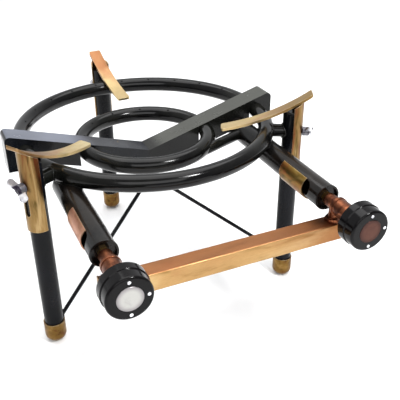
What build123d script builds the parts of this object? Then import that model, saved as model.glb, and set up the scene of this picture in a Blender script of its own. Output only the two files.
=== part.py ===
from build123d import *
from build123d.topology import SkipClean
import os
from math import atan2, cos, degrees, hypot, pi, radians, sin, sqrt, tan

# Two-ring gas burner on a welded tripod, in millimetres. The origin is on the rings' axis at floor
# level, +Z is up, +X runs along the gas rail to the right, and the taps face -Y.

# ---- Driving dimensions ------------------------------------------------------------------------
# Rings
ring_height = 265.0         # centreline of the outer ring above the floor
outer_ring_od = 400.0
outer_tube_d = 24.0
inner_ring_od = 221.0
inner_tube_d = 24.0
inner_ring_drop = 20.0      # the inner ring hangs this far below the outer one
ring_wall = 2.0
port_d = 3.0                # flame ports, drilled in the upper inner quarter of each tube
port_tilt = 30.0            # degrees from straight up, towards the burner's axis
outer_ports = 24
inner_ports = 12

# Flame channels, folded from sheet, which carry the flame from ring to ring
channel_width = 36.0
channel_depth = 35.0
channel_sheet = 2.0
channel_slope = 16.4        # degrees down towards the middle
channel_reach = 214.0       # outer face of the turned-down end
channel_end_drop = 56.0     # length of the turned-down end
channel_end_width = 14.0
channel_bend_r = 7.0

# Legs, feet and braces
leg_d = 28.0
leg_wall = 1.5
leg_standoff = 12.5         # room between the outer ring and a leg
leg_rise = 30.5             # leg end above the outer ring's centreline
back_leg_drop = 9.5         # the back leg ends this much lower
leg_angles = {"right": 330.0, "back": 90.0, "left": 210.0}
foot_d = 31.5
foot_height = 34.0
foot_floor = 6.0
foot_dome = 12.0            # height of the rounded end
foot_pad_r = 5.0            # flat that stands on the floor
plug_flange = 1.5
plug_stem = 12.0
brace_d = 6.0
brace_low_z = 41.0          # where a brace meets its leg
brace_drop = 86.0           # where the braces meet, below the outer ring's centreline
brace_aside = 6.0           # each brace passes this far beside the axis
brace_end = 5.0             # distance from the axis to a brace's inner end
hub_d = 26.0
hub_height = 18.0

# Pan supports, which slide on the legs and are clamped by wing screws
sleeve_sheet = 2.0
sleeve_half_angle = 87.0
sleeve_drop = 68.0          # lower end below the outer ring's centreline
arm_width = 21.0
arm_thick = 4.0
arm_corner_r = 4.0
arm_turn = 4.0              # each support stands turned this far about its leg
arm_inner_reach = 107.5     # distances from the leg's axis to the strip's inner end,
arm_middle_reach = 36.5     # to the middle of its curve
arm_outer_reach = 27.5      # and to its outer end
arm_inner_rise = 4.5        # heights of these above the outer ring's centreline
arm_middle_rise = 25.0
arm_outer_rise = 60.5
left_arm_lift = 9.5         # the left strip's inner end is bent this much higher
back_arm_drop = 8.5         # the back strip is this much lower
back_arm_flatter = 5.0      # and its ends are this much nearer to level
support_up = 40.0           # travel above the drawn place, where the arms are nearly on the legs
clamp_d = 8.0               # wing screw shank
clamp_boss_d = 20.0
wing_hub_d = 14.0
wing_hub_length = 10.0
wing_span = 34.0
wing_height = 14.0
wing_thick = 3.5
wing_rest_angle = -38.0     # turn of the wings about the screw's axis, as photographed

# Gas rail
rail_size = 25.0
rail_wall = 2.0
rail_y = -290.0             # centre of the rail
rail_drop = 38.0            # centre of the rail below the taps
rail_left = -162.0
rail_right = 172.0
rail_end_plate = 2.0

# Mixing tubes, one for each ring, and their air sliders
left_feed_x = -151.5        # the tubes' axes
right_feed_x = 154.5
mixing_tube_d = 35.0
mixing_wall = 2.0
tap_drop = 24.0             # the taps and mixing tubes lie this far below the outer ring
mouth_y = -274.0
lip_width = 4.0
lip_proud = 0.6
left_tube_end_y = -92.0
right_tube_end_y = -14.0
tube_end_sheet = 2.0
riser_d = 14.0
riser_wall = 1.5
cross_pipe_d = 16.0
cross_pipe_drop = 2.0       # its axis below the inner ring's centreline
cross_pipe_meets = -60.0    # degrees from +X to where its axis meets the inner ring's
cross_pipe_start = 28.0     # distance from the tube's end to where its axis leaves the tube's
window_front_y = -254.0
window_length = 64.0
window_width = 20.0
window_angle = 165.0        # degrees from +X, seen from the front
slider_sheet = 1.5
slider_length = 58.0
slider_front_y = -240.0
slider_start_angle = 126.0
slider_wrap = 214.0
slider_forward = 14.0       # travel that shuts the window
slider_back = 40.0          # travel that opens it
mouth_plate_sheet = 2.5
mouth_plate_depth = 4.0

# Taps, from the injector to the knob. Stations are measured forward from the rail's centre.
tap_neck_d = 18.0
tap_stub_d = 13.0
tap_stub_bore = 6.0
tap_stub_hex = 19.0
tap_stub_hex_height = 5.0
tap_gas_bore = 4.0
tap_barrel_d = 24.0
tap_barrel_bore = 14.0
tap_step = 11.0             # neck to barrel
tap_front = 36.0            # front face of the barrel
tap_collar_d = 25.5
tap_collar_width = 4.0
plug_big_d = 12.5
plug_small_d = 10.0
plug_front = 12.0
plug_back = -9.0
plug_slot_depth = 6.0
plug_slot_width = 3.0
plug_side_bore = 3.4
cover_sheet = 2.5
cover_length = 34.0
cover_width = 22.0
cover_screw_pitch = 25.0
cover_screw_d = 3.0
cover_screw_head_d = 5.5
cover_screw_head = 1.6
screw_reach = 6.0           # thread in the barrel's ears
ear_d = 7.0
ear_length = 9.0
spindle_d = 8.0
spindle_flat = 2.0          # depth of the flat that drives the knob
spindle_collar_d = 12.5
spindle_collar = 2.0
spindle_tongue_width = 2.6
spring_wire = 1.0
spring_od = 11.5
spring_turns = 4
injector_hex = 13.0
injector_hex_length = 7.0
injector_nose_d = 9.0
injector_tip_d = 5.0
injector_nose_length = 12.0
injector_jet = 1.1
knob_travel = 3.0           # push before the tap turns

# Knobs
knob_d = 57.5
knob_front_d = 55.0
knob_depth = 27.0
knob_skirt = 12.0
knob_front_y = -365.0
knob_shell = 3.5
knob_hub_d = 16.0
knob_hub_recess = 3.5       # hub face behind the skirt's edge
knob_edge_r = 3.0
knob_step = 1.2
cap_d = 31.0
cap_sheet = 1.6
cap_proud = 0.4

# Gas inlet at the rail's right end
inlet_hex = 17.0
inlet_hex_length = 7.0
inlet_stem_d = 9.0
inlet_barb_d = 11.0
inlet_barbs = 3
inlet_barb_pitch = 6.0
inlet_bore = 6.0

# Clearances
weld_gap = 0.1              # between pieces that are welded or pressed together
slide_gap = 0.35            # between curved faces that slide on each other
turn_gap = 0.05             # radial play of a turning shaft
screw_gap = 0.3

# ---- Sizes that follow -------------------------------------------------------------------------
outer_tube_r = outer_tube_d / 2
inner_tube_r = inner_tube_d / 2
outer_ring_r = outer_ring_od / 2 - outer_tube_r
inner_ring_r = inner_ring_od / 2 - inner_tube_r
inner_ring_height = ring_height - inner_ring_drop
mixing_r = mixing_tube_d / 2
tap_height = ring_height - tap_drop
leg_r = leg_d / 2
leg_circle_r = outer_ring_od / 2 + leg_standoff + leg_r
brace_high_z = ring_height - brace_drop
rail_height = tap_height - rail_drop
rail_half = rail_size / 2
rail_top = rail_height + rail_half
sleeve_in_r = leg_r + slide_gap
sleeve_out_r = sleeve_in_r + sleeve_sheet
cover_front = tap_front + cover_sheet
screw_hole_d = cover_screw_d + 2 * weld_gap
knob_back_y = knob_front_y + knob_depth
feed_x = {"left": left_feed_x, "right": right_feed_x}
arm_radii = (leg_circle_r - arm_inner_reach, leg_circle_r - arm_middle_reach, leg_circle_r + arm_outer_reach)
arm_rises = {
    "right": (arm_inner_rise, arm_middle_rise, arm_outer_rise),
    "back": (
        arm_inner_rise - back_arm_drop + back_arm_flatter,
        arm_middle_rise - back_arm_drop,
        arm_outer_rise - back_arm_drop - back_arm_flatter,
    ),
    "left": (arm_inner_rise + left_arm_lift, arm_middle_rise, arm_outer_rise),
}
leg_tops = {
    "right": ring_height + leg_rise,
    "back": ring_height + leg_rise - back_leg_drop,
    "left": ring_height + leg_rise,
}

nodes = {}


def keep(name, *pieces):
    """Files one sub-part under its name. Loose repeats share a name as separate solids."""
    shape = pieces[0] if len(pieces) == 1 else Compound(children=list(pieces))
    shape.label = name
    nodes[name] = shape


def bar_y(diameter, y_from, y_to, x=0.0, z=0.0):
    """A round bar along Y between two stations."""
    middle = (y_from + y_to) / 2
    return Pos(x, middle, z) * Rot(90, 0, 0) * Cylinder(diameter / 2, abs(y_to - y_from))


def bar_x(diameter, x_from, x_to, y=0.0, z=0.0):
    """A round bar along X between two stations."""
    middle = (x_from + x_to) / 2
    return Pos(middle, y, z) * Rot(0, 90, 0) * Cylinder(diameter / 2, abs(x_to - x_from))


def bar_z(diameter, z_from, z_to, x=0.0, y=0.0):
    """A round bar along Z between two heights."""
    return Pos(x, y, (z_from + z_to) / 2) * Cylinder(diameter / 2, abs(z_to - z_from))


def turned_y(profile, x=0.0, z=0.0):
    """Turns (radius, y) points about a line along Y."""
    face = make_face(Polyline(*[(r, y) for r, y in profile], close=True))
    return Pos(x, 0, z) * revolve(face, Axis.Y)


def hexagon(across_flats, length, plane):
    return extrude(plane * RegularPolygon(across_flats / 2, 6, major_radius=False), length)


def at_leg(shape, side):
    """Turns a piece drawn on the +X side of the axis round to its leg."""
    return Rot(0, 0, leg_angles[side]) * shape


# ---- Rings -------------------------------------------------------------------------------------
def ring_tube(centre_r, tube_r, height, ports, feed):
    """A hollow ring with its flame ports, opened where its feed comes in. Its upper and lower halves
    are drilled apart, and their seams stay in the joined ring."""
    section = Plane.XZ * Pos(centre_r, height)
    wall = Circle(tube_r) - Circle(tube_r - ring_wall)
    above = Rectangle(2 * tube_r, tube_r, align=(Align.CENTER, Align.MIN))
    drill = Rot(0, -port_tilt, 0) * Pos(0, 0, tube_r) * Cylinder(port_d / 2, 3 * ring_wall)
    drill = Pos(centre_r, 0, height) * drill
    upper = revolve(section * (wall & above), Axis.Z) - feed
    upper -= [Rot(0, 0, (n + 0.5) * 360 / ports) * drill for n in range(ports)]
    lower = revolve(section * (wall - above), Axis.Z) - feed
    with SkipClean():
        return upper + lower


def ring_space(gap):
    """The room that both ring tubes take, with a gap around them."""
    outer = Pos(0, 0, ring_height) * Torus(outer_ring_r, outer_tube_r + gap)
    inner = Pos(0, 0, inner_ring_height) * Torus(inner_ring_r, inner_tube_r + gap)
    return [outer, inner]


# ---- Flame channels ----------------------------------------------------------------------------
def channel_top(x):
    """Height of the sloping sheet's upper face, which rests on the inner ring."""
    seat = (inner_tube_r + weld_gap + channel_sheet) / cos(radians(channel_slope))
    return inner_ring_height + seat + (x - inner_ring_r) * tan(radians(channel_slope))


def channel_arm():
    """The right-hand channel: U section, open below, with its outer end turned down."""
    under = channel_depth / cos(radians(channel_slope))
    sheet = channel_sheet / cos(radians(channel_slope))
    low = channel_top(channel_reach) - channel_end_drop
    inner_x = channel_reach - channel_end_width
    near = weld_gap / 2
    outside = Polyline(
        (near, channel_top(near)),
        (channel_reach, channel_top(channel_reach)),
        (channel_reach, low),
        (inner_x, low),
        (inner_x, channel_top(inner_x) - under),
        (near, channel_top(near) - under),
        close=True,
    )
    inside_x = channel_reach - channel_sheet
    inside = Polyline(
        (-channel_depth, channel_top(-channel_depth) - sheet),
        (inside_x, channel_top(inside_x) - sheet),
        (inside_x, low - channel_depth),
        (-channel_depth, low - channel_depth),
        close=True,
    )
    outer_face = make_face(Plane.XZ * outside)
    inner_face = make_face(Plane.XZ * inside)
    outer_face = fillet(top_corner(outer_face), channel_bend_r)
    inner_face = fillet(top_corner(inner_face), channel_bend_r - channel_sheet)
    shell = extrude(outer_face, channel_width / 2, both=True)
    shell -= extrude(inner_face, channel_width / 2 - channel_sheet, both=True)
    return shell - ring_space(weld_gap) - ring_notches()


def ring_notches():
    """The room below each ring, so that a channel can be set down over them."""
    notches = []
    for centre_r, tube_r, height in (
        (outer_ring_r, outer_tube_r, ring_height),
        (inner_ring_r, inner_tube_r, inner_ring_height),
    ):
        half = tube_r + weld_gap
        band = Cylinder(centre_r + half, height) - Cylinder(centre_r - half, height)
        notches.append(Pos(0, 0, height / 2) * band)
    return notches


def top_corner(face):
    return face.vertices().sort_by(Axis.Z)[-1]


# ---- Legs, feet and braces ---------------------------------------------------------------------
def leg(side):
    tube = bar_z(leg_d, foot_floor + weld_gap, leg_tops[side], leg_circle_r)
    tube -= bar_z(leg_d - 2 * leg_wall, 0, leg_tops[side] + 1, leg_circle_r)
    hole = clamp_d + 2 * screw_gap
    return tube - bar_x(hole, leg_circle_r - leg_d, leg_circle_r + leg_d, 0, ring_height)


def foot():
    """A turned cap over the leg's end, domed below."""
    cap_r = foot_d / 2
    socket_r = leg_r + weld_gap
    outline = [
        Line((0, 0), (foot_pad_r, 0)),
        TangentArc((cap_r, foot_dome), (foot_pad_r, 0), tangent=(0, -1)),
        Polyline((cap_r, foot_dome), (cap_r, foot_height), (socket_r, foot_height)),
        Polyline((socket_r, foot_height), (socket_r, foot_floor), (0, foot_floor), (0, 0)),
    ]
    half = make_face([Plane.XZ * edge for edge in outline])
    return Pos(leg_circle_r, 0, 0) * revolve(half, Axis.Z)


def leg_plug(side):
    """A flanged stopper in the leg's upper end."""
    top = leg_tops[side]
    stem = bar_z(leg_d - 2 * leg_wall - 2 * weld_gap, top - plug_stem, top, leg_circle_r)
    flange = bar_z(leg_d, top + weld_gap, top + weld_gap + plug_flange, leg_circle_r)
    neck = bar_z(leg_d / 2, top, top + weld_gap, leg_circle_r)
    return chamfer(flange.edges().sort_by(Axis.Z)[-1], plug_flange / 2) + neck + stem


def leg_boss():
    """The threaded boss that joins a leg to the outer ring and takes the wing screw."""
    boss = bar_x(clamp_boss_d, outer_ring_r, leg_circle_r, 0, ring_height)
    boss -= bar_z(leg_d + 2 * weld_gap, 0, 2 * ring_height, leg_circle_r)
    boss -= ring_space(weld_gap)[0]
    return boss - bar_x(clamp_d + 2 * turn_gap, outer_ring_r, leg_circle_r, 0, ring_height)


def brace_line(diameter):
    """A long bar along the first brace, which runs from the leg's inner face up past the axis."""
    reach = leg_circle_r - leg_r
    fall = brace_high_z - brace_low_z
    slope = degrees(atan2(fall, reach))
    return Pos(reach, brace_aside, brace_low_z) * Rot(0, 90 + slope, 0) * Cylinder(diameter / 2, 2 * reach + fall)


def brace_rod():
    """A straight rod from the leg up to the hub."""
    run = leg_circle_r - brace_end
    room = Pos(brace_end + run / 2, 0, ring_height / 2) * Box(run, leg_d, ring_height)
    return (brace_line(brace_d) & room) - bar_z(leg_d + 2 * weld_gap, 0, ring_height, leg_circle_r)


def brace_hub():
    """A turned boss on the axis, with a socket for each brace."""
    hub = bar_z(hub_d, brace_high_z - hub_height, brace_high_z + hub_height / 4)
    hub = chamfer(hub.edges().filter_by(GeomType.CIRCLE), 1.5)
    socket_end = brace_end - weld_gap
    room = Pos(socket_end + hub_d, 0, brace_high_z) * Box(2 * hub_d, 2 * hub_d, 4 * hub_d)
    socket = brace_line(brace_d + 2 * weld_gap) & room
    return hub - [at_leg(socket, side) for side in leg_angles]


# ---- Pan supports ------------------------------------------------------------------------------
def arm_arc(side, offset):
    """The strip's side view, moved square to itself by the offset, as inner, middle and outer points."""
    points = list(zip(arm_radii, arm_rises[side]))
    (x1, z1), (x2, z2), (x3, z3) = points
    turn = 2 * (x1 * (z2 - z3) + x2 * (z3 - z1) + x3 * (z1 - z2))
    squares = [x * x + z * z for x, z in points]
    cx = (squares[0] * (z2 - z3) + squares[1] * (z3 - z1) + squares[2] * (z1 - z2)) / turn
    cz = (squares[0] * (x3 - x2) + squares[1] * (x1 - x3) + squares[2] * (x2 - x1)) / turn
    radius = hypot(x1 - cx, z1 - cz)
    share = (radius + offset) / radius
    return [(cx + (x - cx) * share, ring_height + cz + (z - cz) * share) for x, z in points]


def turned_on_leg(shape):
    """Turns a pan support's piece about its leg, as it stands in the photographed burner."""
    return Pos(leg_circle_r, 0, 0) * Rot(0, 0, arm_turn) * Pos(-leg_circle_r, 0, 0) * shape


def support_arm(side):
    """The curved flat strip that the pan stands on, with its corners rounded."""
    upper = arm_arc(side, -arm_thick / 2)
    lower = arm_arc(side, arm_thick / 2)
    outline = [
        ThreePointArc(*upper),
        Line(upper[2], lower[2]),
        ThreePointArc(*lower),
        Line(lower[0], upper[0]),
    ]
    strip = extrude(make_face([Plane.XZ * edge for edge in outline]), arm_width, both=True)
    plan = RectangleRounded(arm_radii[2] - arm_radii[0], arm_width, arm_corner_r)
    ends = Pos((arm_radii[2] + arm_radii[0]) / 2, 0, 0) * extrude(plan, 2 * ring_height)
    return turned_on_leg(strip & ends)


def support_sleeve(side):
    """The half-round sleeve outside the leg, slotted for the wing screw and cut to the strip above."""
    low = ring_height - sleeve_drop
    high = ring_height + arm_rises[side][2]
    reach = 3 * leg_d
    across, along = reach * sin(radians(sleeve_half_angle)), reach * cos(radians(sleeve_half_angle))
    wedge = Polyline((0, 0), (along, across), (reach, across), (reach, -across), (along, -across), close=True)
    section = (Circle(sleeve_out_r) - Circle(sleeve_in_r)) & make_face(wedge)
    sleeve = Pos(leg_circle_r, 0, low) * extrude(section, high - low)
    under = arm_arc(side, arm_thick / 2 + weld_gap)
    far_x, far_z = arm_radii[2] + leg_d, 2 * ring_height
    room = [
        ThreePointArc(*under),
        Polyline(under[2], (far_x, under[2][1]), (far_x, far_z), (under[0][0], far_z), under[0]),
    ]
    sleeve -= extrude(make_face([Plane.XZ * edge for edge in room]), leg_d, both=True)
    slot_w = clamp_d + 2 * screw_gap
    slot_middle = ring_height - support_up / 2
    slot = Plane.YZ * Rot(0, 0, 90) * SlotOverall(support_up + slot_w, slot_w)
    slot = Pos(leg_circle_r, 0, slot_middle) * extrude(slot, 2 * leg_d)
    return turned_on_leg(sleeve) - slot


def wing_screw():
    """Shank, round hub and two flared wings, screwed in from outside the sleeve."""
    seat = leg_circle_r + sleeve_out_r + slide_gap
    shank = bar_x(clamp_d, outer_ring_od / 2 + ring_wall, seat + wing_hub_length / 2, 0, ring_height)
    hub = bar_x(wing_hub_d, seat, seat + wing_hub_length, 0, ring_height)
    hub = fillet(hub.edges().sort_by(Axis.X)[-1], wing_hub_d / 6)
    top = seat + wing_hub_length
    wing = make_face(
        [
            Polyline((seat + 2, 0), (top, 0), (top + wing_height / 3, wing_span / 3)),
            ThreePointArc(
                (top + wing_height / 3, wing_span / 3),
                (top + wing_height / 4, wing_span / 2),
                (seat + wing_hub_length / 2, wing_span / 2 - 2),
            ),
            Polyline((seat + wing_hub_length / 2, wing_span / 2 - 2), (seat + 2, 0)),
        ]
    )
    blade = Pos(0, 0, ring_height) * extrude(wing, wing_thick / 2, both=True)
    blades = [blade, mirror(blade, Plane.XZ)]
    screw = shank + hub + blades
    about = Axis((0, 0, ring_height), (1, 0, 0))
    return screw.rotate(about, wing_rest_angle)


# ---- Gas rail ----------------------------------------------------------------------------------
def gas_rail():
    length = rail_right - rail_left
    middle = (rail_right + rail_left) / 2
    rail = Pos(middle, rail_y, rail_height) * Box(length, rail_size, rail_size)
    rail = fillet(rail.edges().filter_by(Axis.X), 1.5)
    bore = rail_size - 2 * rail_wall
    rail -= Pos(middle, rail_y, rail_height) * Box(length + 2, bore, bore)
    for x in feed_x.values():
        rail -= bar_z(tap_stub_bore, rail_height, rail_top + 1, x, rail_y)
    return rail


def rail_end(x, out):
    """A welded plate over one end of the rail, drilled at the inlet's end."""
    middle = x + out * (weld_gap + rail_end_plate / 2)
    plate = Pos(middle, rail_y, rail_height) * Box(rail_end_plate, rail_size, rail_size)
    if out > 0:
        plate -= bar_x(inlet_bore, x, x + 2 * rail_end_plate, rail_y, rail_height)
    return plate


def gas_inlet():
    """A hexagon and a barbed stem for the gas hose, bored through."""
    start = rail_right + weld_gap + rail_end_plate + weld_gap
    hex_end = start + inlet_hex_length
    face = Plane(origin=(start, rail_y, rail_height), x_dir=(0, 1, 0), z_dir=(1, 0, 0))
    body = hexagon(inlet_hex, inlet_hex_length, face)
    end = hex_end + (inlet_barbs + 0.5) * inlet_barb_pitch
    body += bar_x(inlet_stem_d, hex_end, end, rail_y, rail_height)
    for n in range(inlet_barbs):
        base = hex_end + (n + 0.5) * inlet_barb_pitch
        barb = Cone(inlet_barb_d / 2, inlet_stem_d / 2, inlet_barb_pitch)
        body += Pos(base + inlet_barb_pitch / 2, rail_y, rail_height) * Rot(0, 90, 0) * barb
    return body - bar_x(inlet_bore, start - 1, end + inlet_barb_pitch, rail_y, rail_height)


# ---- Mixing tubes ------------------------------------------------------------------------------
def window_cut(x):
    """A round-ended air window through the tube's wall."""
    angle = radians(window_angle)
    middle = window_front_y + window_length / 2
    face = Plane(
        origin=(x, middle, tap_height), x_dir=(0, 1, 0), z_dir=(cos(angle), 0, sin(angle))
    )
    return extrude(face * SlotOverall(window_length, window_width), mixing_tube_d)


def mixing_tube(x, end_y):
    tube = bar_y(mixing_tube_d, mouth_y, end_y, x, tap_height)
    lip = bar_y(mixing_tube_d + 2 * lip_proud, mouth_y, mouth_y + lip_width, x, tap_height)
    tube += fillet(lip.edges().filter_by(GeomType.CIRCLE), lip_proud * 0.9)
    tube -= bar_y(mixing_tube_d - 2 * mixing_wall, mouth_y - 1, end_y + 1, x, tap_height)
    return tube - window_cut(x) - ring_space(weld_gap)[0]


def feed_riser(gap=0.0):
    """The short nipple that lets the left tube's gas up into the outer ring."""
    low = ring_height - outer_tube_r - ring_wall
    high = ring_height - outer_tube_r + 2 * ring_wall
    x = feed_x["left"]
    y = -sqrt(outer_ring_r**2 - x**2)
    riser = bar_z(riser_d + 2 * gap, low, high, x, y)
    if gap:
        return riser
    return riser - bar_z(riser_d - 2 * riser_wall, low - 1, high + 1, x, y)


def cross_bar(diameter):
    """A solid bar along the pipe that joins the right tube to the inner ring, axis to axis."""
    height = inner_ring_height - cross_pipe_drop
    meets = radians(cross_pipe_meets)
    ring_x, ring_y = inner_ring_r * cos(meets), inner_ring_r * sin(meets)
    tube_x, tube_y = feed_x["right"], right_tube_end_y - cross_pipe_start
    turn = degrees(atan2(tube_y - ring_y, tube_x - ring_x))
    length = hypot(tube_x - ring_x, tube_y - ring_y)
    bar = Rot(0, 0, turn) * Rot(0, 90, 0) * Cylinder(diameter / 2, length)
    return Pos((tube_x + ring_x) / 2, (tube_y + ring_y) / 2, height) * bar


def cross_pipe():
    pipe = cross_bar(cross_pipe_d) - cross_bar(cross_pipe_d - 2 * ring_wall)
    pipe -= bar_y(mixing_tube_d + 2 * weld_gap, mouth_y, 0, feed_x["right"], tap_height)
    return pipe - ring_space(weld_gap)[1]


def tube_end(x, y):
    """A disc welded inside the tube's far end."""
    disc_d = mixing_tube_d - 2 * mixing_wall - 2 * weld_gap
    return bar_y(disc_d, y - tube_end_sheet, y, x, tap_height) - ring_space(weld_gap)[0]


def mouth_plate(x):
    """The disc in the tube's mouth that holds the injector."""
    front = mouth_y + mouth_plate_depth
    disc_d = mixing_tube_d - 2 * mixing_wall - 2 * weld_gap
    disc = bar_y(disc_d, front, front + mouth_plate_sheet, x, tap_height)
    through = front + 2 * mouth_plate_sheet
    return disc - bar_y(injector_nose_d + 2 * weld_gap, front - 1, through, x, tap_height)


def air_slider(x):
    """A spring clip of sheet round the tube that covers more or less of the window."""
    inner_r = mixing_r + slide_gap
    start = slider_start_angle
    reach = 4 * mixing_tube_d
    sector = Polyline(
        (0, 0),
        *[
            (reach * cos(radians(start + n * slider_wrap / 4)), reach * sin(radians(start + n * slider_wrap / 4)))
            for n in range(5)
        ],
        close=True,
    )
    section = (Circle(inner_r + slider_sheet) - Circle(inner_r)) & make_face(sector)
    face = Plane(origin=(x, slider_front_y + slider_length, tap_height), x_dir=(1, 0, 0), z_dir=(0, -1, 0))
    return extrude(face * section, slider_length)


# ---- Taps --------------------------------------------------------------------------------------
def station(forward):
    """A Y coordinate, given as a distance forward of the rail's centre."""
    return rail_y - forward


def tap_body(x):
    """Brass body: barrel in front, neck over the rail, and a stub down into the rail."""
    barrel = bar_y(tap_barrel_d, station(tap_front), station(tap_step), x, tap_height)
    collar = bar_y(tap_collar_d, station(tap_step), station(tap_step - tap_collar_width), x, tap_height)
    neck_back = mouth_y - injector_hex_length - 2 * weld_gap + mouth_plate_depth
    neck = bar_y(tap_neck_d, station(tap_step), neck_back, x, tap_height)
    foot_z = rail_top + weld_gap
    stub = bar_z(tap_stub_d, foot_z, tap_height, x, rail_y)
    nut_face = Plane(origin=(x, rail_y, foot_z), x_dir=(0, 1, 0), z_dir=(0, 0, 1))
    nut = hexagon(tap_stub_hex, tap_stub_hex_height, nut_face)
    body = barrel + collar + neck + stub + nut
    screw_holes = []
    for dx in (-cover_screw_pitch / 2, cover_screw_pitch / 2):
        body += bar_y(ear_d, station(tap_front), station(tap_front - ear_length), x + dx, tap_height)
        hole_back = station(tap_front - screw_reach - 1)
        screw_holes.append(bar_y(screw_hole_d, station(tap_front), hole_back, x + dx, tap_height))
    body -= bar_y(tap_barrel_bore, station(tap_front + 1), station(plug_front), x, tap_height)
    body -= plug_cone(x, turn_gap)
    body -= bar_y(tap_gas_bore, station(plug_back), neck_back + 1, x, tap_height)
    body -= bar_z(tap_stub_bore, foot_z - 1, tap_height - plug_small_d / 4, x, rail_y)
    return body - screw_holes


def plug_cone(x, gap=0.0):
    """The tapered seat shared by the plug and the body."""
    front, back = station(plug_front), station(plug_back)
    big, small = plug_big_d / 2 + gap, plug_small_d / 2 + gap
    return turned_y([(0, front), (big, front), (small, back), (0, back)], x, tap_height)


def tap_plug(x):
    """The tapered plug that shuts the gas off, slotted in front for the spindle's tongue."""
    plug = plug_cone(x)
    front = station(plug_front)
    slot = Pos(x, front + plug_slot_depth / 2, tap_height)
    plug -= slot * Box(plug_slot_width, plug_slot_depth, plug_big_d + 1)
    plug -= bar_y(tap_gas_bore, rail_y - tap_stub_bore / 2, station(plug_back), x, tap_height)
    return plug - bar_x(plug_side_bore, x, x + plug_big_d, rail_y, tap_height)


def tap_cover(x):
    """The plate that closes the barrel and guides the spindle."""
    face = Plane(origin=(x, station(tap_front) - weld_gap, tap_height), x_dir=(1, 0, 0), z_dir=(0, -1, 0))
    outline = SlotOverall(cover_length, cover_width)
    holes = Circle(spindle_d / 2 + turn_gap)
    for dx in (-cover_screw_pitch / 2, cover_screw_pitch / 2):
        holes += Pos(dx, 0) * Circle(screw_hole_d / 2)
    return extrude(face * (outline - holes), cover_sheet)


def cover_screw(x):
    """A cheese-head screw through the cover."""
    front = station(cover_front) - 2 * weld_gap
    head = bar_y(cover_screw_head_d, front - cover_screw_head, front, x, tap_height)
    shank = bar_y(cover_screw_d, front, front + cover_sheet + screw_reach, x, tap_height)
    slot = Pos(x, front - cover_screw_head, tap_height)
    return head + shank - slot * Box(cover_screw_head_d, cover_screw_head, cover_screw_d / 4)


def spindle_end_y():
    return knob_front_y + knob_shell + 2 * weld_gap + knob_edge_r


def tap_spindle(x):
    """Tongue, spring collar and the flatted rod that the knob is pushed onto."""
    collar_front = station(tap_front) + weld_gap
    collar_back = collar_front + spindle_collar
    rod = bar_y(spindle_d, spindle_end_y(), collar_back, x, tap_height)
    collar = bar_y(spindle_collar_d, collar_front, collar_back, x, tap_height)
    tongue_back = station(plug_front) + plug_slot_depth - knob_travel - weld_gap
    tongue_length = tongue_back - collar_back
    tongue = Pos(x, collar_back + tongue_length / 2, tap_height)
    tongue *= Box(spindle_tongue_width, tongue_length, spindle_d)
    flat_back = knob_back_y
    flat_length = flat_back - spindle_end_y()
    flat = Pos(x, spindle_end_y() + flat_length / 2, tap_height + spindle_d - spindle_flat)
    return rod + collar + tongue - flat * Box(2 * spindle_d, flat_length, spindle_d)


def tap_spring(x):
    """The coil that keeps the plug seated and brings the knob back out."""
    front = station(tap_front) + weld_gap + spindle_collar + spring_wire / 2 + weld_gap
    back = station(plug_front) - spring_wire / 2 - weld_gap
    coil_r = (spring_od - spring_wire) / 2
    steps = 12 * spring_turns
    points = []
    for n in range(steps + 1):
        angle = 2 * pi * n / 12
        along = front + (back - front) * n / steps
        points.append((x + coil_r * cos(angle), along, tap_height + coil_r * sin(angle)))
    path = Polyline(*points)
    start = Plane(origin=path @ 0, z_dir=path % 0)
    section = RegularPolygon(spring_wire / 2, 6)
    return sweep(start * section, path=path, transition=Transition.RIGHT)


def injector(x):
    """Hexagon outside the mouth plate, and a drilled nose that points along the tube."""
    hex_back = mouth_y + mouth_plate_depth - weld_gap
    hex_front = hex_back - injector_hex_length
    face = Plane(origin=(x, hex_back, tap_height), x_dir=(1, 0, 0), z_dir=(0, -1, 0))
    body = hexagon(injector_hex, injector_hex_length, face)
    nose_r, tip_r = injector_nose_d / 2, injector_tip_d / 2
    shoulder = hex_back + mouth_plate_sheet + 2
    tip = hex_back + injector_nose_length
    body += turned_y([(0, hex_back), (nose_r, hex_back), (nose_r, shoulder), (tip_r, tip), (0, tip)], x, tap_height)
    body -= bar_y(tap_gas_bore, hex_front - 1, tip - 2, x, tap_height)
    return body - bar_y(injector_jet, tip - 3, tip + 1, x, tap_height)


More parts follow.
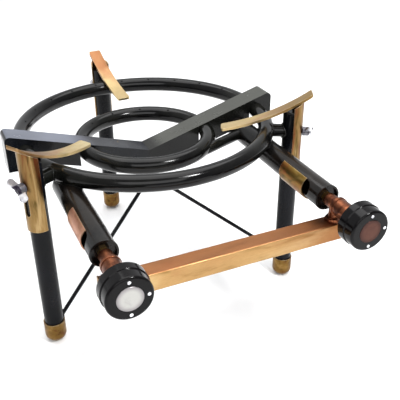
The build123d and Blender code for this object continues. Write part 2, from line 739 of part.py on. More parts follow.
# ---- Knobs -------------------------------------------------------------------------------------
def knob(x):
    """Moulded knob: skirt, stepped face with a recess for the cap, hollow behind with a D-bored hub."""
    skirt_r, face_r = knob_d / 2, knob_front_d / 2
    front, back = knob_front_y, knob_back_y
    skirt_front = back - knob_skirt
    recess_r = cap_d / 2 + weld_gap
    recess = front + cap_sheet - cap_proud
    outline = [
        Polyline((0, recess), (recess_r, recess), (recess_r, front), (face_r - knob_edge_r, front)),
        ThreePointArc(
            (face_r - knob_edge_r, front),
            (face_r - knob_edge_r * (1 - sin(pi / 4)), front + knob_edge_r * (1 - cos(pi / 4))),
            (face_r, front + knob_edge_r),
        ),
        Polyline(
            (face_r, front + knob_edge_r),
            (skirt_r - knob_step, skirt_front),
            (skirt_r, skirt_front + knob_step),
            (skirt_r, back),
            (skirt_r - knob_shell, back),
            (face_r - knob_shell, front + knob_shell + knob_edge_r),
            (knob_hub_d / 2, front + knob_shell + knob_edge_r),
            (knob_hub_d / 2, back - knob_hub_recess),
            (0, back - knob_hub_recess),
            (0, recess),
        ),
    ]
    body = Pos(x, 0, tap_height) * revolve(make_face(outline), Axis.Y)
    grip = spindle_d / 2 + weld_gap
    bore = bar_y(2 * grip, spindle_end_y() - weld_gap, back, x, tap_height)
    flat_z = tap_height + spindle_d / 2 - spindle_flat + weld_gap
    flat_part = Pos(x, knob_front_y + knob_depth / 2, flat_z + spindle_d)
    return body - (bore - flat_part * Box(2 * spindle_d, 2 * knob_depth, 2 * spindle_d))


def knob_cap(x):
    """The thin metal disc let into the knob's face."""
    front = knob_front_y - cap_proud
    disc = bar_y(cap_d, front, front + cap_sheet - weld_gap, x, tap_height)
    return chamfer(disc.edges().sort_by(Axis.Y)[0], cap_proud)


# ---- Assembly ----------------------------------------------------------------------------------
def build():
    feed = feed_riser(weld_gap)
    keep("outer_ring", ring_tube(outer_ring_r, outer_tube_r, ring_height, outer_ports, feed))
    feed = cross_bar(cross_pipe_d - 2 * ring_wall)
    keep("inner_ring", ring_tube(inner_ring_r, inner_tube_r, inner_ring_height, inner_ports, feed))

    arm = channel_arm()
    tube_room = bar_y(
        mixing_tube_d + 2 * weld_gap, mouth_y, right_tube_end_y + weld_gap, feed_x["right"], tap_height
    )
    keep("flame_channel_right", arm - tube_room)
    keep("flame_channel_left", mirror(arm, Plane.YZ))

    left_tube = mixing_tube(feed_x["left"], left_tube_end_y) - feed_riser(weld_gap)
    right_tube = mixing_tube(feed_x["right"], right_tube_end_y) - feed
    keep("mixing_tube_left", left_tube)
    keep("mixing_tube_right", right_tube)
    keep("feed_riser", feed_riser())
    keep("cross_pipe", cross_pipe())
    keep("tube_end_left", tube_end(feed_x["left"], left_tube_end_y))
    keep("tube_end_right", tube_end(feed_x["right"], right_tube_end_y))

    keep("gas_rail", gas_rail())
    keep("rail_ends", rail_end(rail_left, -1), rail_end(rail_right, 1))
    keep("gas_inlet", gas_inlet())

    for side, x in feed_x.items():
        keep(f"mouth_plate_{side}", mouth_plate(x))
        keep(f"air_slider_{side}", air_slider(x))
        keep(f"injector_{side}", injector(x))
        keep(f"tap_body_{side}", tap_body(x))
        keep(f"tap_plug_{side}", tap_plug(x))
        keep(f"tap_spring_{side}", tap_spring(x))
        keep(f"tap_cover_{side}", tap_cover(x))
        screws = [cover_screw(x + dx) for dx in (-cover_screw_pitch / 2, cover_screw_pitch / 2)]
        keep(f"cover_screws_{side}", *screws)
        keep(f"tap_spindle_{side}", tap_spindle(x))
        keep(f"knob_{side}", knob(x))
        keep(f"knob_cap_{side}", knob_cap(x))

    for side in leg_angles:
        keep(f"leg_{side}", at_leg(leg(side), side))
        keep(f"foot_{side}", at_leg(foot(), side))
        keep(f"support_arm_{side}", at_leg(support_arm(side), side))
        keep(f"support_sleeve_{side}", at_leg(support_sleeve(side), side))
        keep(f"wing_screw_{side}", at_leg(wing_screw(), side))
        keep(f"brace_rod_{side}", at_leg(brace_rod(), side))
    keep("leg_plugs", *[at_leg(leg_plug(side), side) for side in leg_angles])
    keep("leg_bosses", *[at_leg(leg_boss(), side) for side in leg_angles])
    keep("brace_hub", brace_hub())


build()
os.makedirs("parts", exist_ok=True)
for name, shape in nodes.items():
    export_step(shape, f"parts/{name}.step")
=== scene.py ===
import bpy
from math import cos, pi, radians, sin
from mathutils import Matrix, Vector


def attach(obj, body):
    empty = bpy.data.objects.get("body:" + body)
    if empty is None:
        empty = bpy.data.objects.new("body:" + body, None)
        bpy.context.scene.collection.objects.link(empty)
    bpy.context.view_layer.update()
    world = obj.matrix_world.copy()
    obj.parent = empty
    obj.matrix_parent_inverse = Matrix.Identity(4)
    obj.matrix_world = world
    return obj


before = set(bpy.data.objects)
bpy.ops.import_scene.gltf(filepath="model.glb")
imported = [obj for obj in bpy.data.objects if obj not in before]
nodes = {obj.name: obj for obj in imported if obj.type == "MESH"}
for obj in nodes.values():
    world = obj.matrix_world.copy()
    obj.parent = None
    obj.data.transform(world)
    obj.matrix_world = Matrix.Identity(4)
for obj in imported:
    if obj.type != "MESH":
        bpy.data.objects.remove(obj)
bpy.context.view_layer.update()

# ---- Sizes of the burner, in metres, as in its source -------------------------------------------
ring_height = 0.265
outer_ring_r = 0.188
outer_tube_r = 0.012
leg_circle_r = 0.2265
leg_r = 0.014
leg_angles = {"right": 330, "back": 90, "left": 210}
boss_r = 0.010
brace_low = 0.041
brace_high = 0.179
brace_aside = 0.006
brace_r = 0.003
tap_height = 0.241
feed_x = {"left": -0.1515, "right": 0.1545}
mixing_r = 0.0175
knob_front_y = -0.365

# ---- Sizes of the weld beads and the knobs' pins ------------------------------------------------
bead_size = 0.0016
bead_overlap = 0.0003
bead_voxel = 0.0006
leg_span_z = (0.01, 0.29)
tube_span_y = (-0.2, -0.04)
brace_run = 0.03
brace_start_share = 1.05
brace_sunk_share = 0.4
mark_circle_r = 0.0212
mark_r = 0.0021
mark_depth = 0.0024
mark_sunk = 0.0009
mark_rim = 0.0006
mark_step = 0.0003
mark_dish = 0.0002
mark_bevel = 0.00015
mark_angles = {"top": 90, "right": 0, "bottom": -90}

# ---- Camera, in metres and degrees --------------------------------------------------------------
camera_place = (-0.3010, -0.8703, ring_height + 0.3970)
camera_pitch = 30.084
camera_yaw = 24.413
camera_roll = -0.283
camera_lens = 57.47


# ---- Camera -------------------------------------------------------------------------------------
def set_camera():
    """The photograph's viewpoint: from the front left, about 30 degrees above the rings."""
    camera = bpy.data.cameras.new("camera")
    camera.sensor_width = 36
    camera.lens = camera_lens
    camera.clip_start = 0.02
    body = bpy.data.objects.new("camera", camera)
    bpy.context.scene.collection.objects.link(body)
    turn = Matrix.Rotation(-radians(camera_yaw), 4, "Z")
    turn = turn @ Matrix.Rotation(pi / 2 - radians(camera_pitch), 4, "X")
    turn = turn @ Matrix.Rotation(radians(camera_roll), 4, "Z")
    body.matrix_world = Matrix.Translation(camera_place) @ turn
    bpy.context.scene.camera = body


# ---- Node helpers -------------------------------------------------------------------------------
class Wires:
    """Adds nodes to one tree and joins their sockets."""

    def __init__(self, tree):
        self.tree = tree
        tree.nodes.clear()

    def add(self, kind, **settings):
        node = self.tree.nodes.new(kind)
        for name, value in settings.items():
            setattr(node, name, value)
        return node

    def join(self, source, target):
        self.tree.links.new(source, target)

    def feed(self, target, value):
        """Joins a socket to the target, or sets the target to a plain value."""
        if isinstance(value, bpy.types.NodeSocket):
            self.join(value, target)
        else:
            target.default_value = value

    def math(self, operation, a, b=0.0, clamp=False):
        node = self.add("ShaderNodeMath", operation=operation, use_clamp=clamp)
        self.feed(node.inputs[0], a)
        self.feed(node.inputs[1], b)
        return node.outputs[0]

    def ramp(self, value, low, high, to_low=0.0, to_high=1.0):
        node = self.add("ShaderNodeMapRange", clamp=True, interpolation_type="SMOOTHSTEP")
        for socket, number in zip(node.inputs[:5], (value, low, high, to_low, to_high)):
            self.feed(socket, number)
        return node.outputs[0]

    def blend(self, amount, first, second, mode="MIX"):
        node = self.add("ShaderNodeMix", data_type="RGBA", blend_type=mode)
        self.feed(node.inputs[0], amount)
        self.feed(node.inputs[6], first)
        self.feed(node.inputs[7], second)
        return node.outputs[2]

    def noise(self, place, scale, detail=3.0, roughness=0.5, distortion=0.0):
        node = self.add("ShaderNodeTexNoise")
        self.feed(node.inputs["Vector"], place)
        self.feed(node.inputs["Scale"], scale)
        node.inputs["Detail"].default_value = detail
        node.inputs["Roughness"].default_value = roughness
        node.inputs["Distortion"].default_value = distortion
        return node.outputs["Fac"]


def shade(colour):
    """A colour given as red, green and blue out of 255, as linear values."""
    def linear(c):
        c /= 255
        return c / 12.92 if c <= 0.04045 else ((c + 0.055) / 1.055) ** 2.4
    return (*[linear(c) for c in colour], 1.0)


def new_group(name, inputs, outputs):
    """An empty node group with its sockets."""
    tree = bpy.data.node_groups.new(name, "ShaderNodeTree")
    for label, kind, value in inputs:
        socket = tree.interface.new_socket(label, in_out="INPUT", socket_type=kind)
        if value is not None:
            socket.default_value = value
    for label, kind in outputs:
        tree.interface.new_socket(label, in_out="OUTPUT", socket_type=kind)
    wires = Wires(tree)
    return tree, wires, wires.add("NodeGroupInput").outputs, wires.add("NodeGroupOutput").inputs


def place_group(wires, tree, **values):
    """Puts a node group into a tree and feeds its sockets by name."""
    node = wires.add("ShaderNodeGroup", node_tree=tree)
    for name, value in values.items():
        wires.feed(node.inputs[name], value)
    return node.outputs


def facing_up(wires):
    """How far a face looks up, from -1 to 1."""
    flat = wires.add("ShaderNodeNewGeometry")
    split = wires.add("ShaderNodeSeparateXYZ")
    wires.join(flat.outputs["Normal"], split.inputs[0])
    return split.outputs["Z"]


# ---- Effects shared by the finishes -------------------------------------------------------------
def make_orange_peel():
    """The soft waviness of a sprayed or dipped coat, with a little grit in it."""
    tree, wires, given, result = new_group(
        "orange peel",
        [
            ("Place", "NodeSocketVector", None),
            ("Wave", "NodeSocketFloat", 260.0),
            ("Grit", "NodeSocketFloat", 0.25),
        ],
        [("Height", "NodeSocketFloat")],
    )
    wave = wires.noise(given["Place"], given["Wave"], 1.5)
    specks = wires.noise(given["Place"], wires.math("MULTIPLY", given["Wave"], 7.0), 2.0)
    grit = wires.math("MULTIPLY", wires.ramp(specks, 0.62, 0.78), given["Grit"])
    wires.feed(result["Height"], wires.math("ADD", wave, grit))
    return tree


def make_edge_mask():
    """Where an outside edge of the metal is near, broken up as a worn coat is."""
    tree, wires, given, result = new_group(
        "edge mask",
        [
            ("Place", "NodeSocketVector", None),
            ("Width", "NodeSocketFloat", 0.0012),
            ("Breakup", "NodeSocketFloat", 0.5),
        ],
        [("Edge", "NodeSocketFloat"), ("Wear", "NodeSocketFloat")],
    )
    rounded = wires.add("ShaderNodeBevel", samples=4)
    wires.feed(rounded.inputs["Radius"], given["Width"])
    flat = wires.add("ShaderNodeNewGeometry")
    facing = wires.add("ShaderNodeVectorMath", operation="DOT_PRODUCT")
    wires.join(rounded.outputs[0], facing.inputs[0])
    wires.join(flat.outputs["Normal"], facing.inputs[1])
    edge = wires.ramp(facing.outputs["Value"], 0.995, 0.86)
    rub = wires.noise(given["Place"], 190.0, 4.0, 0.65)
    low = wires.math("SUBTRACT", 0.78, wires.math("MULTIPLY", given["Breakup"], 0.35))
    wires.feed(result["Edge"], edge)
    worn = wires.ramp(rub, low, wires.math("ADD", low, 0.12))
    wires.feed(result["Wear"], wires.math("MULTIPLY", edge, worn))
    return tree


def make_dust():
    """A thin dulling film, thicker on faces that look up."""
    tree, wires, given, result = new_group(
        "dust film",
        [("Place", "NodeSocketVector", None), ("Amount", "NodeSocketFloat", 0.3)],
        [("Film", "NodeSocketFloat")],
    )
    up = wires.ramp(facing_up(wires), -0.2, 1.0, 0.25, 1.0)
    patches = wires.ramp(wires.noise(given["Place"], 22.0, 5.0, 0.6), 0.35, 0.75)
    fine = wires.ramp(wires.noise(given["Place"], 420.0, 3.0, 0.7), 0.3, 0.8, 0.4, 1.0)
    film = wires.math("MULTIPLY", wires.math("MULTIPLY", up, patches), fine)
    wires.feed(result["Film"], wires.math("MULTIPLY", film, given["Amount"], clamp=True))
    return tree


def make_zinc_clouds():
    """The drifting gold, rose and olive of passivated zinc, with fine draw lines along the stock."""
    tree, wires, given, result = new_group(
        "zinc clouds",
        [
            ("Place", "NodeSocketVector", None),
            ("Gold", "NodeSocketColor", shade((196, 160, 104))),
            ("Rose", "NodeSocketColor", shade((186, 120, 84))),
            ("Olive", "NodeSocketColor", shade((128, 106, 48))),
            ("Pale", "NodeSocketColor", shade((226, 208, 166))),
            ("Drift", "NodeSocketFloat", 26.0),
            ("Lines", "NodeSocketFloat", 900.0),
        ],
        [("Color", "NodeSocketColor"), ("Rough", "NodeSocketFloat"), ("Height", "NodeSocketFloat")],
    )
    wide = wires.noise(given["Place"], given["Drift"], 3.0, 0.55, 0.6)
    second = wires.noise(given["Place"], wires.math("MULTIPLY", given["Drift"], 2.3), 3.0, 0.5, 0.4)
    spots = wires.noise(given["Place"], wires.math("MULTIPLY", given["Drift"], 9.0), 4.0, 0.65)
    lines = wires.noise(given["Place"], given["Lines"], 2.0, 0.6)
    colour = wires.blend(wires.ramp(wide, 0.46, 0.66), given["Gold"], given["Rose"])
    colour = wires.blend(wires.ramp(second, 0.54, 0.70, 0.0, 0.8), colour, given["Olive"])
    colour = wires.blend(wires.ramp(wide, 0.44, 0.30, 0.0, 0.85), colour, given["Pale"])
    colour = wires.blend(wires.ramp(spots, 0.58, 0.74, 0.0, 0.35), colour, given["Olive"])
    colour = wires.blend(wires.ramp(lines, 0.3, 0.7, 0.12, 0.0), colour, (0.05, 0.035, 0.02, 1.0))
    rough = wires.ramp(second, 0.3, 0.7, 0.26, 0.42)
    rough = wires.math("ADD", rough, wires.ramp(lines, 0.2, 0.8, 0.0, 0.06))
    wires.feed(result["Color"], colour)
    wires.feed(result["Rough"], rough)
    wires.feed(result["Height"], wires.math("ADD", lines, wires.math("MULTIPLY", spots, 0.4)))
    return tree


orange_peel = make_orange_peel()
edge_mask = make_edge_mask()
dust_film = make_dust()
zinc_clouds = make_zinc_clouds()


# ---- Finishes -----------------------------------------------------------------------------------
def start_finish(name, stretch=(1, 1, 1), turn=0.0):
    """A material with its shader and a place vector, turned and stretched along the stock."""
    material = bpy.data.materials.new(name)
    material.use_nodes = True
    wires = Wires(material.node_tree)
    out = wires.add("ShaderNodeOutputMaterial")
    shader = wires.add("ShaderNodeBsdfPrincipled")
    wires.join(shader.outputs[0], out.inputs[0])
    where = wires.add("ShaderNodeTexCoord")
    mapping = wires.add("ShaderNodeMapping", vector_type="TEXTURE")
    wires.join(where.outputs["Object"], mapping.inputs["Vector"])
    mapping.inputs["Rotation"].default_value = (0, 0, radians(turn))
    mapping.inputs["Scale"].default_value = [1 / share for share in stretch]
    return material, wires, shader, where.outputs["Object"], mapping.outputs[0]


def relief(wires, shader, height, depth, edge_radius):
    """Gives the shader a bumped normal, over rounded edges."""
    bump = wires.add("ShaderNodeBump")
    bump.inputs["Strength"].default_value = 1.0
    bump.inputs["Distance"].default_value = depth
    wires.feed(bump.inputs["Height"], height)
    rounded = wires.add("ShaderNodeBevel", samples=4)
    rounded.inputs["Radius"].default_value = edge_radius
    wires.join(rounded.outputs[0], bump.inputs["Normal"])
    wires.join(bump.outputs[0], shader.inputs["Normal"])


def upward_mask(wires, low, high, most):
    """Where a face looks up, from none below low to the most above high."""
    return wires.ramp(facing_up(wires), low, high, 0.0, most)


def black_enamel(name, black=(5, 5, 6), bloom=(20, 21, 17), gloss=0.12, edge_radius=0.0006, dust=0.12,
                 top=None, reflection_span=(-1.0, -2.0), shine=0.22):
    """Glossy stove enamel: nearly black, with an olive bloom, dust and rubbed edges. Faces that look
    up may carry a painted reflection in a lighter tone, which grows between two places along X."""
    material, wires, shader, place, _ = start_finish(name)
    cloud = wires.noise(place, 9.0, 4.0, 0.55)
    colour = wires.blend(wires.ramp(cloud, 0.42, 0.72), shade(black), shade(bloom))
    # Painted reflection: faces that look up are tinted toward the lighter top tone, more so along X.
    if top:
        painted_reflection_mask = upward_mask(wires, 0.8, 0.95, 1.0)
        painted_reflection_mask = wires.math("MULTIPLY", painted_reflection_mask, wires.ramp(cloud, 0.3, 0.7, 1.0, 0.7))
        across = wires.add("ShaderNodeSeparateXYZ")
        wires.join(place, across.inputs[0])
        painted_reflection_mask = wires.math("MULTIPLY", painted_reflection_mask, wires.ramp(across.outputs["X"], reflection_span[0], reflection_span[1], 0.12, 1.0))
        colour = wires.blend(painted_reflection_mask, colour, shade(top))
    film = place_group(wires, dust_film, Place=place, Amount=dust)["Film"]
    colour = wires.blend(film, colour, shade((84, 82, 76)))
    worn = place_group(wires, edge_mask, Place=place, Width=0.0011, Breakup=0.35)["Wear"]
    colour = wires.blend(wires.math("MULTIPLY", worn, 0.4), colour, shade((88, 84, 78)))
    wires.feed(shader.inputs["Base Color"], colour)
    rough = wires.ramp(wires.noise(place, 34.0, 4.0, 0.6), 0.3, 0.75, gloss * 0.8, gloss * 1.5)
    rough = wires.math("ADD", rough, wires.math("MULTIPLY", film, 0.5))
    rough = wires.math("ADD", rough, wires.math("MULTIPLY", worn, 0.25), clamp=True)
    wires.feed(shader.inputs["Roughness"], rough)
    shader.inputs["Specular IOR Level"].default_value = shine
    peel = place_group(wires, orange_peel, Place=place, Wave=240.0, Grit=0.15)["Height"]
    relief(wires, shader, peel, 0.00004, edge_radius)
    return material


def zinc_plate(name, stretch, turn=0.0, edge_radius=0.0006, gold=(176, 140, 92), rose=(158, 100, 66),
               olive=(104, 84, 38), pale=(206, 182, 136), drift=26.0, top=None, outward=None):
    """Yellow-passivated zinc plate over drawn steel. Faces that look up may carry a painted reflection in
    a tone of their own. The far end of a strip may have its own tone too, which is given as where it
    starts, where it is full, and a colour."""
    material, wires, shader, place, along = start_finish(name, stretch, turn)
    clouds = place_group(
        wires, zinc_clouds, Place=along, Gold=shade(gold), Rose=shade(rose), Olive=shade(olive),
        Pale=shade(pale), Drift=drift,
    )
    colour = clouds["Color"]
    # Painted reflection: faces that look up take a tone of their own for what they mirror.
    if top:
        colour = wires.blend(upward_mask(wires, 0.6, 0.9, 0.85), colour, shade(top))
    if outward:
        split = wires.add("ShaderNodeSeparateXYZ")
        wires.join(along, split.inputs[0])
        starts, full, tone = outward
        waver = wires.math("MULTIPLY", wires.math("SUBTRACT", wires.noise(place, 60.0), 0.5), 0.012)
        reach = wires.math("ADD", split.outputs["X"], waver)
        mask = wires.ramp(reach, starts * stretch[0], full * stretch[0], 0.0, 0.85)
        colour = wires.blend(mask, colour, shade(tone))
    marks = place_group(wires, edge_mask, Place=place, Width=0.0012, Breakup=0.8)
    # Painted highlight: every outside edge is lightened toward pale gold for the glint along the edges.
    colour = wires.blend(wires.math("MULTIPLY", marks["Edge"], 0.5), colour, shade((236, 214, 172)))
    colour = wires.blend(wires.math("MULTIPLY", marks["Wear"], 0.6), colour, shade((170, 160, 146)))
    film = place_group(wires, dust_film, Place=place, Amount=0.2)["Film"]
    colour = wires.blend(film, colour, shade((96, 74, 48)))
    wires.feed(shader.inputs["Base Color"], colour)
    shader.inputs["Metallic"].default_value = 1.0
    rough = wires.math("ADD", clouds["Rough"], wires.math("MULTIPLY", film, 0.3), clamp=True)
    wires.feed(shader.inputs["Roughness"], rough)
    relief(wires, shader, clouds["Height"], 0.00003, edge_radius)
    return material


def turned_metal(name, bright, dark, gloss=0.24, edge_radius=0.0004, rings=(900, 60, 900)):
    """Turned brass or steel: tool marks round the axis, darker where fingers and heat have been."""
    material, wires, shader, place, along = start_finish(name, rings)
    tarnish = wires.noise(place, 75.0, 5.0, 0.6, 0.5)
    colour = wires.blend(wires.ramp(tarnish, 0.36, 0.66), shade(bright), shade(dark))
    marks = place_group(wires, edge_mask, Place=place, Width=0.0008, Breakup=0.7)
    # Painted highlight: outside edges are lightened toward the bright tone.
    colour = wires.blend(wires.math("MULTIPLY", marks["Edge"], 0.4), colour, shade(bright))
    wires.feed(shader.inputs["Base Color"], colour)
    shader.inputs["Metallic"].default_value = 1.0
    tool = wires.noise(along, 1.0, 2.0, 0.6)
    rough = wires.ramp(tarnish, 0.3, 0.7, gloss, gloss * 1.7)
    wires.feed(shader.inputs["Roughness"], wires.math("ADD", rough, wires.ramp(tool, 0.3, 0.7, 0.0, 0.05)))
    relief(wires, shader, tool, 0.00002, edge_radius)
    return material


def moulded_black(name, dust=0.08):
    """Polished thermoset of the knobs: deep black, fine swirl marks, a little dust."""
    material, wires, shader, place, _ = start_finish(name)
    film = place_group(wires, dust_film, Place=place, Amount=dust)["Film"]
    colour = wires.blend(wires.noise(place, 60.0, 3.0), shade((4, 4, 5)), shade((10, 8, 9)))
    wires.feed(shader.inputs["Base Color"], wires.blend(film, colour, shade((50, 47, 45))))
    swirl = wires.noise(place, 1500.0, 2.0, 0.7)
    rough = wires.ramp(swirl, 0.3, 0.8, 0.09, 0.16)
    wires.feed(shader.inputs["Roughness"], wires.math("ADD", rough, wires.math("MULTIPLY", film, 0.6)))
    shader.inputs["Specular IOR Level"].default_value = 0.14
    relief(wires, shader, wires.noise(place, 420.0, 2.0), 0.00003, 0.0009)
    return material


def satin_disc(name, middle, rim, centre):
    """A thin metal disc with a turned, satin face, a little darker towards its rim."""
    material, wires, shader, place, _ = start_finish(name)
    away = wires.add("ShaderNodeVectorMath", operation="DISTANCE")
    wires.join(place, away.inputs[0])
    away.inputs[1].default_value = centre
    circles = wires.add("ShaderNodeTexNoise", noise_dimensions="1D")
    wires.feed(circles.inputs["W"], wires.math("MULTIPLY", away.outputs["Value"], 2600.0))
    stain = wires.noise(place, 130.0, 4.0, 0.6)
    colour = wires.blend(wires.ramp(away.outputs["Value"], 0.009, 0.0155), shade(middle), shade(rim))
    colour = wires.blend(wires.ramp(stain, 0.5, 0.75, 0.0, 0.35), colour, shade(rim))
    wires.feed(shader.inputs["Base Color"], colour)
    shader.inputs["Metallic"].default_value = 1.0
    wires.feed(shader.inputs["Roughness"], wires.ramp(stain, 0.3, 0.7, 0.3, 0.42))
    relief(wires, shader, circles.outputs["Fac"], 0.00001, 0.0004)
    return material


def plain_zinc(name, turn):
    """Bright zinc plate on a cast wing screw, with a fine sandy skin and a dark hub on its axis."""
    material, wires, shader, place, along = start_finish(name, (1, 1, 1), turn)
    cloud = wires.noise(place, 110.0, 4.0, 0.6)
    colour = wires.blend(wires.ramp(cloud, 0.35, 0.7), shade((206, 206, 210)), shade((140, 140, 148)))
    split = wires.add("ShaderNodeSeparateXYZ")
    wires.join(along, split.inputs[0])
    rise = wires.math("SUBTRACT", split.outputs["Z"], ring_height)
    away = wires.math("ADD", wires.math("POWER", rise, 2.0), wires.math("POWER", split.outputs["Y"], 2.0))
    away = wires.math("SQRT", away)
    hub = wires.ramp(away, 0.0078, 0.0066)
    wires.feed(shader.inputs["Base Color"], wires.blend(hub, colour, shade((34, 26, 44))))
    wires.feed(shader.inputs["Metallic"], wires.math("SUBTRACT", 1.0, wires.math("MULTIPLY", hub, 0.5)))
    wires.feed(shader.inputs["Roughness"], wires.ramp(cloud, 0.3, 0.7, 0.28, 0.46))
    relief(wires, shader, wires.noise(place, 900.0, 3.0, 0.6), 0.00004, 0.0005)
    return material


def dress(material, *names):
    """Gives CAD nodes a finish."""
    for name in names:
        nodes[name].data.materials.clear()
        nodes[name].data.materials.append(material)


def dress_the_nodes():
    """Every CAD node's finish."""
    sides = ("left", "right")
    ring_black = black_enamel("ring enamel")
    dress(ring_black, "outer_ring", "inner_ring", "feed_riser", "cross_pipe", "leg_bosses", "brace_hub")
    tube_black = black_enamel("tube enamel", gloss=0.16, bloom=(26, 20, 15))
    for side in sides:
        dress(tube_black, f"mixing_tube_{side}", f"tube_end_{side}", f"mouth_plate_{side}")
    leg_black = black_enamel("leg enamel", gloss=0.2, black=(6, 7, 10), bloom=(13, 14, 20), dust=0.08,
                             shine=0.13)
    for side in leg_angles:
        dress(leg_black, f"leg_{side}", f"brace_rod_{side}")
    # Both channels' top tones are painted reflections: pale blue-grey on the left, olive-grey on the right.
    right_channel = black_enamel("channel enamel right", gloss=0.22, top=(74, 75, 70), reflection_span=(0.005, 0.03))
    dress(right_channel, "flame_channel_right")
    left_channel = black_enamel("channel enamel left", bloom=(18, 21, 27), gloss=0.18, top=(100, 104, 116),
                                reflection_span=(-0.075, -0.125))
    dress(left_channel, "flame_channel_left")

    # The rail's rosy top tone is a painted reflection.
    rail_zinc = zinc_plate("rail zinc", (0.25, 1, 1), rose=(166, 118, 78), olive=(138, 106, 60),
                           pale=(196, 166, 118), top=(146, 94, 62), outward=(0.02, 0.20, (128, 76, 44)))
    dress(rail_zinc, "gas_rail", "rail_ends")
    arm_ends = {"left": (146, 108, 70), "right": (140, 112, 64), "back": (124, 76, 48)}
    for side, angle in leg_angles.items():
        sleeve = zinc_plate(f"sleeve zinc {side}", (1, 1, 0.16), gold=(138, 110, 68), rose=(104, 56, 32),
                            olive=(76, 62, 28), pale=(178, 152, 108), drift=62.0)
        dress(sleeve, f"support_sleeve_{side}")
        arm = zinc_plate(
            f"arm zinc {side}", (0.4, 1, 1), turn=angle, gold=(198, 174, 126), rose=(184, 146, 106),
            olive=(166, 148, 100), pale=(214, 200, 158), drift=18.0, outward=(0.165, 0.222, arm_ends[side]),
        )
        dress(arm, f"support_arm_{side}")
        dress(plain_zinc(f"wing screw zinc {side}", angle), f"wing_screw_{side}")
        foot = zinc_plate(f"foot brass {side}", (1, 1, 1), gold=(122, 92, 46), rose=(104, 70, 38),
                          olive=(76, 58, 24), pale=(146, 116, 66), drift=60.0)
        dress(foot, f"foot_{side}")
    dress(moulded_black("cap black"), "leg_plugs")

    tap_copper = turned_metal("tap copper", (132, 80, 54), (66, 36, 26))
    bright_brass = turned_metal("bright brass", (206, 168, 104), (150, 108, 58))
    steel = turned_metal("plain steel", (150, 150, 152), (96, 94, 92))
    copper_slider = zinc_plate("slider zinc left", (1, 0.4, 1), gold=(192, 142, 116), rose=(206, 150, 128),
                               olive=(140, 96, 66), pale=(214, 170, 146))
    olive_slider = zinc_plate("slider zinc right", (1, 0.4, 1), gold=(134, 104, 48), rose=(150, 88, 46),
                              olive=(84, 70, 28), pale=(160, 134, 76), drift=60.0)
    dress(copper_slider, "air_slider_left")
    dress(olive_slider, "air_slider_right")
    for side in sides:
        dress(tap_copper, f"tap_body_{side}", f"tap_cover_{side}")
        dress(bright_brass, f"injector_{side}", f"tap_plug_{side}", f"tap_spindle_{side}")
        dress(steel, f"tap_spring_{side}", f"cover_screws_{side}")
        dress(moulded_black(f"knob black {side}"), f"knob_{side}")
    dress(bright_brass, "gas_inlet")
    # The right disc's dark brown tones are a painted reflection; the left disc keeps the pale grey of the
    # metal.
    caps = {"left": ((172, 171, 167), (136, 132, 133)), "right": ((84, 56, 48), (62, 42, 38))}
    for side, (middle, rim) in caps.items():
        centre = (feed_x[side], knob_front_y, tap_height)
        dress(satin_disc(f"knob disc {side}", middle, rim, centre), f"knob_cap_{side}")


# ---- Modelling helpers --------------------------------------------------------------------------
def all_apart():
    """Leaves nothing selected."""
    if bpy.context.mode != "OBJECT":
        bpy.ops.object.mode_set(mode="OBJECT")
    bpy.ops.object.select_all(action="DESELECT")


def settle(name):
    """Names the piece just added and puts its place into its mesh."""
    piece = bpy.context.active_object
    piece.name = name
    bpy.ops.object.transform_apply(location=True, rotation=True, scale=True)
    return piece


def rod(start, end, radius):
    """A round bar between two points."""
    all_apart()
    start, end = Vector(start), Vector(end)
    turn = (end - start).to_track_quat("Z", "Y").to_euler()
    bpy.ops.mesh.primitive_cylinder_add(
        vertices=64, radius=radius, depth=(end - start).length, location=(start + end) / 2, rotation=turn
    )
    return settle("rod")


def hoop(centre_r, tube_r, height):
    """A ring tube, lying level on the burner's axis."""
    all_apart()
    bpy.ops.mesh.primitive_torus_add(
        major_radius=centre_r, minor_radius=tube_r, major_segments=160, minor_segments=40,
        location=(0, 0, height),
    )
    return settle("hoop")


def finish_with(piece, kind, **settings):
    """Adds one modifier and applies it."""
    bpy.context.view_layer.objects.active = piece
    modifier = piece.modifiers.new(kind, kind)
    for name, value in settings.items():
        setattr(modifier, name, value)
    bpy.ops.object.modifier_apply(modifier=modifier.name)


def cut_with(piece, tool, operation):
    """Joins or cuts a piece with a tool, which is used up."""
    finish_with(piece, "BOOLEAN", object=tool, operation=operation, solver="EXACT")
    bpy.data.objects.remove(tool)


def weld_bead(name, first, second):
    """The bead in the corner between two pieces: the room near both, less the pieces themselves."""
    bead = first(bead_size)
    cut_with(bead, second(bead_size), "INTERSECT")
    cut_with(bead, first(-bead_overlap), "DIFFERENCE")
    cut_with(bead, second(-bead_overlap), "DIFFERENCE")
    finish_with(bead, "REMESH", mode="VOXEL", voxel_size=bead_voxel)
    finish_with(bead, "SMOOTH", factor=0.6, iterations=4)
    bead.name = name
    bead.data.materials.append(weld_black)
    bpy.context.view_layer.objects.active = bead
    bead.select_set(True)
    bpy.ops.object.shade_smooth()
    all_apart()
    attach(bead, "stand")


def out_from_axis(side, radius, height, aside=0.0):
    """A point at a leg's bearing from the burner's axis, or a little aside of it."""
    angle = radians(leg_angles[side])
    x = radius * cos(angle) - aside * sin(angle)
    y = radius * sin(angle) + aside * cos(angle)
    return Vector((x, y, height))


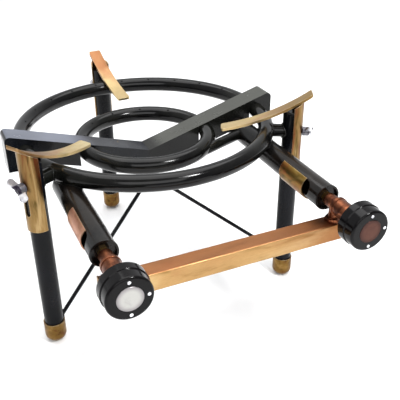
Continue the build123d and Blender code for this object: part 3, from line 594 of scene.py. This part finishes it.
# ---- Welds --------------------------------------------------------------------------------------
def add_welds():
    """Beads where the bosses, braces and mixing tubes meet the ring and the legs. Each helper makes one
    of these pieces again, a little thicker or thinner."""
    def outer(grow):
        return hoop(outer_ring_r, outer_tube_r + grow, ring_height)

    for side in leg_angles:
        def boss(grow, side=side):
            start = out_from_axis(side, outer_ring_r, ring_height)
            end = out_from_axis(side, leg_circle_r, ring_height)
            return rod(start, end, boss_r + grow)

        def leg(grow, side=side):
            foot = out_from_axis(side, leg_circle_r, leg_span_z[0])
            head = out_from_axis(side, leg_circle_r, leg_span_z[1])
            return rod(foot, head, leg_r + grow)

        def brace(grow, side=side):
            start = out_from_axis(side, leg_circle_r - leg_r * brace_start_share, brace_low, brace_aside)
            slope = (brace_high - brace_low) / (leg_circle_r - leg_r)
            end_height = brace_low + slope * brace_run
            end = out_from_axis(side, leg_circle_r - leg_r - brace_run, end_height, brace_aside)
            return rod(start + (start - end) * brace_sunk_share, end, brace_r + grow)

        weld_bead(f"weld_ring_boss_{side}", boss, outer)
        weld_bead(f"weld_leg_boss_{side}", boss, leg)
        weld_bead(f"weld_brace_{side}", brace, leg)
    for side, x in feed_x.items():
        def tube(grow, x=x):
            return rod((x, tube_span_y[0], tap_height), (x, tube_span_y[1], tap_height), mixing_r + grow)

        weld_bead(f"weld_ring_tube_{side}", tube, outer)


# ---- Knob marks ---------------------------------------------------------------------------------
def add_knob_marks():
    """Three small metal pins let into each knob's face, dished in the middle."""
    for side, x in feed_x.items():
        for place, angle in mark_angles.items():
            all_apart()
            mark_x = x + mark_circle_r * cos(radians(angle))
            mark_z = tap_height + mark_circle_r * sin(radians(angle))
            bpy.ops.mesh.primitive_cylinder_add(
                vertices=32, radius=mark_r, depth=mark_depth, rotation=(pi / 2, 0, 0),
                location=(mark_x, knob_front_y + mark_sunk, mark_z),
            )
            pin = settle(f"knob_mark_{place}_{side}")
            bpy.ops.object.mode_set(mode="EDIT")
            bpy.ops.mesh.select_mode(type="FACE")
            bpy.ops.mesh.select_all(action="DESELECT")
            bpy.ops.object.mode_set(mode="OBJECT")
            for face in pin.data.polygons:
                face.select = face.normal.y < -0.9
            bpy.ops.object.mode_set(mode="EDIT")
            bpy.ops.mesh.inset(thickness=mark_rim, depth=0)
            bpy.ops.mesh.inset(thickness=mark_step, depth=-mark_dish)
            bpy.ops.object.mode_set(mode="OBJECT")
            finish_with(pin, "BEVEL", width=mark_bevel, segments=2, limit_method="ANGLE")
            bpy.ops.object.shade_smooth_by_angle(angle=radians(40))
            pin.data.materials.append(mark_steel)
            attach(pin, f"knob_{side}")


# ---- Light and floor ----------------------------------------------------------------------------
def soft_light(name, place, aim, size, power):
    """A large rectangular lamp that looks at a point."""
    lamp = bpy.data.lights.new(name, "AREA")
    lamp.shape = "RECTANGLE"
    lamp.size, lamp.size_y = size
    lamp.energy = power
    body = bpy.data.objects.new(name, lamp)
    bpy.context.scene.collection.objects.link(body)
    body.location = place
    body.rotation_euler = (Vector(aim) - Vector(place)).to_track_quat("-Z", "Y").to_euler()


def set_stage():
    """A pale floor in a studio that is bright behind the burner and dim in front of it."""
    world = bpy.data.worlds.new("studio")
    bpy.context.scene.world = world
    world.use_nodes = True
    wires = Wires(world.node_tree)
    out = wires.add("ShaderNodeOutputWorld")
    sky = wires.add("ShaderNodeBackground")
    where = wires.add("ShaderNodeTexCoord")
    split = wires.add("ShaderNodeSeparateXYZ")
    wires.join(where.outputs["Generated"], split.inputs[0])
    wires.feed(sky.inputs["Strength"], wires.ramp(split.outputs["Y"], -0.5, 0.9, 0.4, 1.0))
    sky.inputs["Color"].default_value = (0.97, 0.98, 1.0, 1)
    wires.join(sky.outputs[0], out.inputs[0])
    soft_light("key", place=(0.50, -1.05, 1.45), aim=(0, 0, 0.25), size=(0.22, 0.22), power=18)
    soft_light("overhead", place=(0.2, 0.4, 2.4), aim=(0, 0, 0.0), size=(2.4, 2.4), power=60)
    soft_light("front fill", place=(-0.6, -2.4, 1.6), aim=(0, -0.5, 0.0), size=(2.6, 1.4), power=34)
    all_apart()
    bpy.ops.mesh.primitive_plane_add(size=60, location=(0, 0, 0))
    floor = bpy.context.active_object
    floor.name = "floor"
    material = bpy.data.materials.new("floor")
    material.use_nodes = True
    shader = material.node_tree.nodes["Principled BSDF"]
    shader.inputs["Base Color"].default_value = (0.93, 0.93, 0.93, 1)
    shader.inputs["Roughness"].default_value = 0.7
    floor.data.materials.append(material)
    bpy.context.scene.view_settings.view_transform = "Standard"


set_camera()
set_stage()
dress_the_nodes()
weld_black = black_enamel("weld enamel", gloss=0.2, dust=0.2)
mark_steel = turned_metal("mark steel", (240, 240, 242), (200, 200, 204), gloss=0.3)
add_welds()
add_knob_marks()
